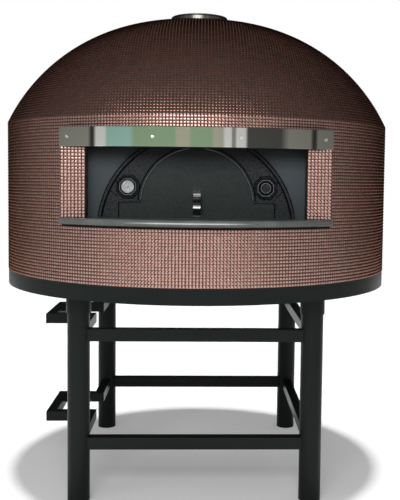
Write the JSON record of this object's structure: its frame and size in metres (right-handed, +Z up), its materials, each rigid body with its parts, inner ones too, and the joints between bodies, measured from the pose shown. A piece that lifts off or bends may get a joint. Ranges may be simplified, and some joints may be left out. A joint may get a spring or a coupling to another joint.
{
  "type": "pizza oven",
  "caption": "Round mosaic-tiled wood-fired pizza oven on a tube stand, with an arched mouth, lift-off door, steel visor, stone shelf and flue collar.",
  "frame": {"origin": "on the floor under the middle of the whole oven, level with the undersides of the feet; the dome's axis is 23.5 mm behind it", "axes": "+Z up along the dome's axis, -Y out of the mouth, +X to the right of someone who faces the mouth"},
  "size_m": [1.596, 1.6429, 1.924],
  "materials": {
    "black_paint": "satin",
    "portal_paint": "matte",
    "mosaic": "gloss",
    "shell_render": "matte",
    "insulation_fibre": "matte",
    "insulating_slab": "matte",
    "firebrick": "matte",
    "flue_steel": "satin",
    "collar_steel": "polished",
    "front_steel": "satin",
    "arch_iron": "satin",
    "door_steel": "satin",
    "grip_black": "satin",
    "handle_chrome": "polished",
    "visor_steel": "polished",
    "shelf_stone": "satin",
    "case_black": "gloss",
    "stem_steel": "satin",
    "dial_white": "matte",
    "needle_black": "matte",
    "dial_glass": "gloss"
  },
  "bodies": {
    "oven": {"badge_boss": "arch_iron", "base_plate": "black_paint", "base_ring": "black_paint", "base_slab": "insulating_slab", "cast_arch": "arch_iron", "dome_insulation": "insulation_fibre", "dome_mosaic": "mosaic", "dome_shell": "shell_render", "drum_mosaic": "mosaic", "drum_shell": "shell_render", "flue_collar": "collar_steel", "flue_pipe": "flue_steel", "foot_plates": "black_paint", "front_left_leg": "black_paint", "front_lower_rail": "black_paint", "front_plate": "front_steel", "front_right_leg": "black_paint", "front_upper_rail": "black_paint", "hearth_shelf": "shelf_stone", "hearth_tiles": "firebrick", "left_jamb": "portal_paint", "left_jamb_mosaic": "mosaic", "left_lower_cradle": "black_paint", "left_lower_front_rail": "black_paint", "left_lower_rear_rail": "black_paint", "left_upper_cradle": "black_paint", "left_upper_front_rail": "black_paint", "left_upper_rear_rail": "black_paint", "leg_sockets": "black_paint", "lintel": "portal_paint", "mouth_vault": "firebrick", "oven_chamber": "firebrick", "rear_left_leg": "black_paint", "rear_lower_rail": "black_paint", "rear_right_leg": "black_paint", "rear_upper_rail": "black_paint", "right_jamb": "portal_paint", "right_jamb_mosaic": "mosaic", "right_lower_rail": "black_paint", "right_upper_rail": "black_paint", "thermometer_boss": "arch_iron", "thermometer_case": "case_black", "thermometer_dial": "dial_white", "thermometer_glass": "dial_glass", "thermometer_stem": "stem_steel", "tray_joists": "black_paint", "visor": "visor_steel", "visor_screws": "handle_chrome"},
    "door": {"door_panel": "door_steel", "door_handle": "handle_chrome", "grip_plate": "grip_black", "grip_rivets": "handle_chrome"},
    "needle": {"thermometer_needle": "needle_black"}
  },
  "joints": [
    {"name": "door_slide", "type": "slide", "parent": "oven", "child": "door", "axis": [0, -1, 0], "range_m": [0, 0.35]},
    {"name": "needle_turn", "type": "hinge", "parent": "oven", "child": "needle", "pos_m": [-0.249, -0.6025, 1.208], "axis": [0, 1, 0], "range_deg": [-19, 251]}
  ]
}
